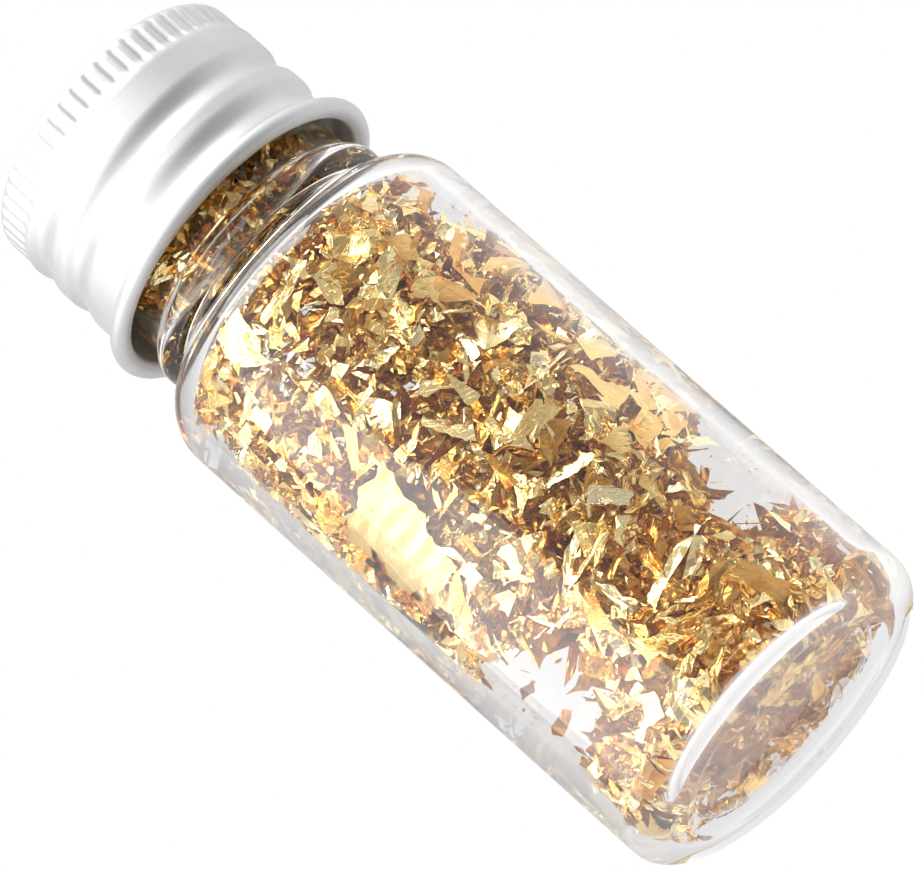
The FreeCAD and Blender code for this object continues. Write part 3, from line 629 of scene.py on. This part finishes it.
def leaf(name, seed, angle, tall, corners, folds, swing, lean, tone):
    """One sheet on the inside of the wall: (u, v) goes to (arc length, height), and folds lift it in.

    Swing takes its right side off the wall and lean its upper side, both in degrees.
    """
    rng = np.random.default_rng(seed)
    corner = np.array(corners)
    span = np.ptp(corner, axis=0)
    columns, rows = (np.maximum(span / 0.12, 12)).astype(int)
    u = np.linspace(-1, 1, columns + 1)[None, :]
    v = np.linspace(-1, 1, rows + 1)[:, None]
    weight = corner_weights(u, v)
    flat = weight @ corner
    left, right = border(rng, rows + 1)[:, None], border(rng, rows + 1)[:, None]
    below, above = border(rng, columns + 1)[None, :], border(rng, columns + 1)[None, :]
    flat[..., 0] += (left * np.clip(-u, 0, 1) + right * np.clip(u, 0, 1)) * span.min() / 2
    flat[..., 1] += (below * np.clip(-v, 0, 1) + above * np.clip(v, 0, 1)) * span.min() / 2
    lift = np.zeros(flat.shape[:2])
    for _ in range(7):
        course = rng.uniform(0, math.pi)
        run = flat[..., 0] * math.cos(course) + flat[..., 1] * math.sin(course)
        wave = rng.uniform(0.7, 2.4)
        sharp = rng.uniform(0.3, 1)
        lift += sharp * np.abs(((run + rng.uniform(0, 3)) / wave) % 1.0 - 0.5) * wave * 0.5
    lift = lift * folds + flat @ np.tan(np.radians([swing, lean]))
    lift -= lift.min()
    around = math.radians(angle) + flat[..., 0] / INSIDE_RAD
    height = tall + flat[..., 1]
    reach = room(height) - lift
    grid = np.stack([reach * np.cos(around), reach * np.sin(around), height], axis=-1)
    uv = flat + rng.uniform(-40, 40, 2)
    return weave(name, [(hold_inside(grid[None]), uv[None], np.array([tone]))])


leaf_pieces = {}
for seed, (cad_node, numbers) in enumerate(LEAVES.items()):
    leaf_pieces[cad_node] = leaf("gold_" + cad_node, 300 + seed, *numbers)

# %% [markdown]
# ## Materials
# A node group holds what several materials share: three kinds of gold foil use the same wrinkles,
# each with its own depth. The group gives out a colour, a roughness and a normal, and the shader
# itself stays in each material.

# %% Node helpers
def new_group(name, inputs, outputs):
    """A shader node group with float inputs (name, default) and outputs (name, socket type)."""
    tree = bpy.data.node_groups.new(name, "ShaderNodeTree")
    for label, default in inputs:
        socket = tree.interface.new_socket(label, in_out="INPUT", socket_type="NodeSocketFloat")
        socket.default_value = default
    for label, kind in outputs:
        tree.interface.new_socket(label, in_out="OUTPUT", socket_type=kind)
    return tree, tree.nodes.new("NodeGroupInput"), tree.nodes.new("NodeGroupOutput")


def node(tree, kind, operation=None, **sockets):
    """Add a node. A keyword sets the input of that name, or is linked to it if it is a socket.

    An underscore stands for a space, and i0, i1 and so on are inputs by number.
    """
    made = tree.nodes.new(kind)
    if operation:
        made.operation = operation
    for label, value in sockets.items():
        place = int(label[1:]) if label[0] == "i" and label[1:].isdigit() else label.replace("_", " ")
        if isinstance(value, bpy.types.NodeSocket):
            tree.links.new(value, made.inputs[place])
        else:
            made.inputs[place].default_value = value
    return made


def ramp(tree, factor, stops):
    """A colour ramp with stops (position, colour)."""
    made = node(tree, "ShaderNodeValToRGB", Fac=factor)
    while len(made.color_ramp.elements) < len(stops):
        made.color_ramp.elements.new(0.5)
    for element, (position, colour) in zip(made.color_ramp.elements, stops):
        element.position = position
        element.color = (*colour, 1.0)
    return made.outputs["Color"]


def new_material(name):
    """A material with its Principled shader."""
    material = bpy.data.materials.new(name)
    material.use_nodes = True
    return material, material.node_tree, material.node_tree.nodes["Principled BSDF"]


# %% [markdown]
# ### Gold foil
# Imitation gold leaf is a mirror with creases. An image of foil would repeat and blur, so the
# wrinkles are computed: the edges of Voronoi cells, pulled about by noise, make sharp creases, and
# finer noise makes small dents. The colour runs from deep orange brown to pale yellow with the
# number that each scrap carries. That number is a random tone, lowered as painted shade for scraps
# that lie deep inside the vial: it stands in for deep foil that mirrors other foil and looks
# darker and redder.

# %% Gold foil group
foil, foil_in, foil_out = new_group(
    "gold_foil", [("Tone", 0.5), ("Wrinkle", 1.0)],
    [("Colour", "NodeSocketColor"), ("Roughness", "NodeSocketFloat"), ("Normal", "NodeSocketVector")])
surface = foil.nodes.new("ShaderNodeUVMap")
surface.uv_map = "surface"
cloud = node(foil, "ShaderNodeTexNoise", Vector=surface.outputs["UV"], Scale=0.9, Detail=3.0)
crease = foil.nodes.new("ShaderNodeTexVoronoi")
crease.feature = "DISTANCE_TO_EDGE"
crease.inputs["Scale"].default_value = 2.2
warped = node(foil, "ShaderNodeVectorMath", "MULTIPLY_ADD",
              i0=cloud.outputs["Color"], i1=(0.5, 0.5, 0.5), i2=surface.outputs["UV"])
foil.links.new(warped.outputs[0], crease.inputs["Vector"])
fine = node(foil, "ShaderNodeTexNoise", Vector=surface.outputs["UV"], Scale=7.0, Detail=2.0)
creased = node(foil, "ShaderNodeMath", "MINIMUM", i0=crease.outputs["Distance"], i1=0.12)
height = node(foil, "ShaderNodeMath", "MULTIPLY_ADD",
              i0=fine.outputs["Fac"], i1=0.06, i2=creased.outputs[0])
strength = node(foil, "ShaderNodeMath", "MULTIPLY", i0=foil_in.outputs["Wrinkle"], i1=0.22)
bump = node(foil, "ShaderNodeBump", Strength=strength.outputs[0],
            Distance=0.35 * MM, Height=height.outputs[0])
mixed = node(foil, "ShaderNodeMath", "MULTIPLY_ADD", i0=cloud.outputs["Fac"], i1=0.5, i2=-0.25)
shade = node(foil, "ShaderNodeMath", "ADD", i0=mixed.outputs[0], i1=foil_in.outputs["Tone"])
# The tone that picks the colour is random per scrap, lowered as painted shade for scraps deep inside.
foil.links.new(ramp(foil, shade.outputs[0], [
    (0.0, (0.26, 0.08, 0.008)), (0.2, (0.70, 0.34, 0.06)), (0.45, (0.92, 0.64, 0.22)),
    (0.75, (0.97, 0.77, 0.35)), (1.0, (0.98, 0.87, 0.54))]), foil_out.inputs["Colour"])
dull = node(foil, "ShaderNodeMath", "MULTIPLY_ADD", i0=fine.outputs["Fac"], i1=0.16, i2=0.12)
foil.links.new(dull.outputs[0], foil_out.inputs["Roughness"])
foil.links.new(bump.outputs["Normal"], foil_out.inputs["Normal"])


def gold_material(name, wrinkle):
    """Gold foil with its own depth of wrinkles; its tone is the number that each scrap carries."""
    material, tree, shader = new_material(name)
    tone = tree.nodes.new("ShaderNodeAttribute")
    tone.attribute_name = "tone"
    looks = tree.nodes.new("ShaderNodeGroup")
    looks.node_tree = foil
    tree.links.new(tone.outputs["Fac"], looks.inputs["Tone"])
    looks.inputs["Wrinkle"].default_value = wrinkle
    tree.links.new(looks.outputs["Colour"], shader.inputs["Base Color"])
    tree.links.new(looks.outputs["Roughness"], shader.inputs["Roughness"])
    tree.links.new(looks.outputs["Normal"], shader.inputs["Normal"])
    shader.inputs["Metallic"].default_value = 1.0
    return material


gold_flakes = gold_material("gold_flakes", 1.0)
gold_leaf = gold_material("gold_leaf", 0.45)
gold_crinkled = gold_material("gold_crinkled", 1.8)

# %% [markdown]
# ### Brushed aluminium
# The cap is bare aluminium, brushed while it turned and a little cloudy from handling. Noise that
# is read at (distance from the axis, height) does not change along a circle, so it makes streaks
# that follow the turning. An anisotropic shader could brush the metal too, but it needs tangents
# and would show little at this size.

# %% Brushed aluminium
aluminium, tree, shader = new_material("satin_aluminium")
place = node(tree, "ShaderNodeTexCoord")
axes = node(tree, "ShaderNodeSeparateXYZ", Vector=place.outputs["Object"])
squared_x = node(tree, "ShaderNodeMath", "MULTIPLY", i0=axes.outputs["X"], i1=axes.outputs["X"])
squared = node(tree, "ShaderNodeMath", "MULTIPLY_ADD", i0=axes.outputs["Y"], i1=axes.outputs["Y"],
               i2=squared_x.outputs[0])
radius = node(tree, "ShaderNodeMath", "SQRT", i0=squared.outputs[0])
lathe = node(tree, "ShaderNodeCombineXYZ", X=radius.outputs[0], Y=axes.outputs["Z"])
drift = node(tree, "ShaderNodeTexNoise", Vector=place.outputs["Object"], Scale=180.0, Detail=3.0)
wander = node(tree, "ShaderNodeVectorMath", "MULTIPLY_ADD",
              i0=drift.outputs["Color"], i1=(0.0006, 0.0006, 0.0006), i2=lathe.outputs[0])
streaks = node(tree, "ShaderNodeTexNoise", Vector=wander.outputs[0], Scale=9000.0, Detail=2.0)
rough = node(tree, "ShaderNodeMath", "MULTIPLY_ADD", i0=streaks.outputs["Fac"], i1=0.14, i2=0.45)
clouded = node(tree, "ShaderNodeMath", "MULTIPLY_ADD",
               i0=drift.outputs["Fac"], i1=0.10, i2=rough.outputs[0])
tree.links.new(clouded.outputs[0], shader.inputs["Roughness"])
greys = ramp(tree, drift.outputs["Fac"], [(0.3, (0.58, 0.585, 0.595)), (0.7, (0.66, 0.665, 0.675))])
tree.links.new(greys, shader.inputs["Base Color"])
bump = node(tree, "ShaderNodeBump", Strength=0.25, Distance=0.02 * MM, Height=streaks.outputs["Fac"])
tree.links.new(bump.outputs["Normal"], shader.inputs["Normal"])
shader.inputs["Metallic"].default_value = 1.0

# %% [markdown]
# ### Foam
# The liner is closed-cell foam that shows only when the cap is off. Small Voronoi cells in the
# colour and in a bump are enough, where modelled cells would cost far more than they show.

# %% Foam
foam, tree, shader = new_material("white_foam")
place = node(tree, "ShaderNodeTexCoord")
cells = node(tree, "ShaderNodeTexVoronoi", Vector=place.outputs["Object"], Scale=4000.0)
whites = ramp(tree, cells.outputs["Distance"], [(0.0, (0.90, 0.90, 0.88)), (1.0, (0.80, 0.80, 0.78))])
tree.links.new(whites, shader.inputs["Base Color"])
bump = node(tree, "ShaderNodeBump", Strength=0.4, Distance=0.05 * MM, Height=cells.outputs["Distance"])
tree.links.new(bump.outputs["Normal"], shader.inputs["Normal"])
shader.inputs["Roughness"].default_value = 0.75

# %% [markdown]
# ### Glass
# Clear glass is the shader's transmission with an index of refraction of 1.5, and the real
# thickness of the wall does the rest. Only a few reflections are followed inside a closed wall, so
# the thick corners would turn black. A Light Path node therefore lets a ray out after two of them,
# and lets the lamps' light through to the gold, as the glass really would.

# %% Glass
clear_glass, tree, shader = new_material("clear_glass")
place = node(tree, "ShaderNodeTexCoord")
swell = node(tree, "ShaderNodeTexNoise", Vector=place.outputs["Object"], Scale=90.0, Detail=1.0)
bump = node(tree, "ShaderNodeBump", Strength=0.15, Distance=0.1 * MM, Height=swell.outputs["Fac"])
tree.links.new(bump.outputs["Normal"], shader.inputs["Normal"])
tints = ramp(tree, swell.outputs["Fac"], [(0.3, (0.985, 0.98, 0.985)), (0.7, (0.995, 0.99, 0.99))])
tree.links.new(tints, shader.inputs["Base Color"])
shader.inputs["Transmission Weight"].default_value = 1.0
shader.inputs["IOR"].default_value = 1.5
shader.inputs["Roughness"].default_value = 0.0
path = node(tree, "ShaderNodeLightPath")
clear = node(tree, "ShaderNodeBsdfTransparent")
trapped = node(tree, "ShaderNodeMath", "GREATER_THAN", i0=path.outputs["Glossy Depth"], i1=1.5)
let_out = node(tree, "ShaderNodeMath", "MAXIMUM",
               i0=path.outputs["Is Shadow Ray"], i1=trapped.outputs[0])
mix = node(tree, "ShaderNodeMixShader", Fac=let_out.outputs[0])
tree.links.new(shader.outputs["BSDF"], mix.inputs[1])
tree.links.new(clear.outputs["BSDF"], mix.inputs[2])
tree.links.new(mix.outputs["Shader"], tree.nodes["Material Output"].inputs["Surface"])

# %% [markdown]
# ## Bodies, slots and nodes
# Each piece gets its material, the body it rides on, so that the poses can move it, and the CAD
# node it stands for, so that this node is hidden. The cap and the liner move; all else stays with
# the glass. The crinkled leaf under the shoulder has the deepest wrinkles.

# %% Materials, bodies and nodes of each piece
glass.data.materials.append(clear_glass)
cap.data.materials.append(aluminium)
liner.data.materials.append(foam)
for piece, body, cad_node, finish in (
        (glass, "vial", "glass_vial", "clear_glass"),
        (cap, "cap", "screw_cap", "satin_aluminium"),
        (liner, "liner", "cap_liner", "white_foam")):
    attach(piece, body)
    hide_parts(cad_node)
for cad_node, piece in zone_pieces.items():
    piece.data.materials.append(gold_flakes)
    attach(piece, "vial")
    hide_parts(cad_node)
for cad_node, piece in leaf_pieces.items():
    piece.data.materials.append(gold_crinkled if cad_node == "shoulder_leaf" else gold_leaf)
    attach(piece, "vial")
    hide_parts(cad_node)

# %% [markdown]
# ## Floor and light
# A white room behind, a darker one on the camera's side, and three softboxes. Metal and glass show
# only what they reflect, so the room makes most of their look. The left box lays a pale veil over
# one half of the glass, the front box lights knurls and folds from above, and the low box fills the
# front from the level of the floor. The floor takes the shadow but hides from reflections, so that
# glass and gold mirror the room alone, and it is clear from below, where the main camera stands.

# %% Floor
FLOOR_HALF, FLOOR_LOW = 1500.0, -0.05
floor_points = np.array([[-FLOOR_HALF, -FLOOR_HALF, FLOOR_LOW], [FLOOR_HALF, -FLOOR_HALF, FLOOR_LOW],
                         [FLOOR_HALF, FLOOR_HALF, FLOOR_LOW], [-FLOOR_HALF, FLOOR_HALF, FLOOR_LOW]])
floor = fill_mesh("floor", floor_points, [np.array([[0, 1, 2, 3]])], False)
pale, tree, shader = new_material("pale_floor")
shader.inputs["Base Color"].default_value = (0.88, 0.88, 0.88, 1)
shader.inputs["Roughness"].default_value = 0.6
under = node(tree, "ShaderNodeNewGeometry")
clear = node(tree, "ShaderNodeBsdfTransparent")
mix = node(tree, "ShaderNodeMixShader", Fac=under.outputs["Backfacing"])
tree.links.new(shader.outputs["BSDF"], mix.inputs[1])
tree.links.new(clear.outputs["BSDF"], mix.inputs[2])
tree.links.new(mix.outputs["Shader"], tree.nodes["Material Output"].inputs["Surface"])
floor.data.materials.append(pale)
floor.visible_glossy = False
floor.visible_transmission = False

# %% [markdown]
# ### The room
# A studio panorama would be an image file, so the room is a ramp over the angle from one direction:
# dim on the camera's side, which gives glass and metal their dark lines, brightest at the sides,
# and a little dimmer behind. The camera itself sees plain white, and so, a little dimmer, do rays
# that go straight through glass.

# %% World
world = bpy.data.worlds.new("room")
bpy.context.scene.world = world
world.use_nodes = True
tree = world.node_tree
background = tree.nodes["Background"]
direction = node(tree, "ShaderNodeTexCoord")
dark_turn = math.radians(22.0)
bright_side = (-math.sin(dark_turn) * forward.y, math.cos(dark_turn) * forward.y, forward.z)
behind = node(tree, "ShaderNodeVectorMath", "DOT_PRODUCT",
              i0=direction.outputs["Generated"], i1=bright_side)
path = node(tree, "ShaderNodeLightPath")
spread = node(tree, "ShaderNodeMath", "MULTIPLY_ADD", i0=behind.outputs["Value"], i1=0.5, i2=0.5)
# brightness from the camera's side of the room (0) to the side behind the vial (1)
ROOM = ((0.06, 0.20), (0.18, 0.44), (0.36, 0.95), (0.60, 1.0), (0.90, 0.62), (1.0, 0.52))
ROOM_STRENGTH = 1.3
THROUGH_GLASS = 0.8
shades = ramp(tree, spread.outputs[0], [(position, (shade, shade, shade)) for position, shade in ROOM])
lit = node(tree, "ShaderNodeMath", "MULTIPLY", i0=shades, i1=ROOM_STRENGTH)
straight = node(tree, "ShaderNodeMath", "LESS_THAN", i0=path.outputs["Glossy Depth"], i1=0.5)
undiffused = node(tree, "ShaderNodeMath", "LESS_THAN", i0=path.outputs["Diffuse Depth"], i1=0.5)
seen = node(tree, "ShaderNodeMath", "MULTIPLY", i0=straight.outputs[0], i1=undiffused.outputs[0])
through = node(tree, "ShaderNodeMix", Factor=seen.outputs[0], i2=lit.outputs[0], i3=THROUGH_GLASS)
whole = node(tree, "ShaderNodeMix", Factor=path.outputs["Is Camera Ray"], i2=through.outputs[0], i3=1.0)
tree.links.new(whole.outputs[0], background.inputs["Strength"])
background.inputs["Color"].default_value = (1.0, 1.0, 1.0, 1)


# %% [markdown]
# ### The softboxes
# Area lights are used and not glowing planes, because they are sampled better and can hide from the
# camera. Each one is placed by its azimuth and its distance from the axis, as in a studio.

# %% Softboxes
def softbox(name, azimuth, distance, width, low, high, radiance, tip=0.0):
    """An upright rectangle of light that faces the axis; azimuth is measured from the front, to the right.

    tip leans its face downwards, in degrees.
    """
    light = bpy.data.lights.new(name, "AREA")
    light.shape = "RECTANGLE"
    light.size, light.size_y = width, high - low
    light.energy = radiance * math.pi * width * (high - low)
    lamp = bpy.data.objects.new(name, light)
    bpy.context.scene.collection.objects.link(lamp)
    turn = math.radians(azimuth)
    lamp.location = (distance * math.sin(turn), -distance * math.cos(turn), (low + high) / 2)
    lamp.rotation_euler = (math.pi / 2 - math.radians(tip), 0, turn)
    lamp.visible_camera = False


softbox("left_box", -62.5, 0.30, 0.53, -0.01, 0.150, 2.1)
softbox("front_box", -6, 0.20, 0.42, 0.26, 0.46, 6.0, 52)
softbox("low_box", -12, 0.30, 0.34, -0.01, 0.035, 3.5)

bpy.context.scene.view_settings.view_transform = "Standard"
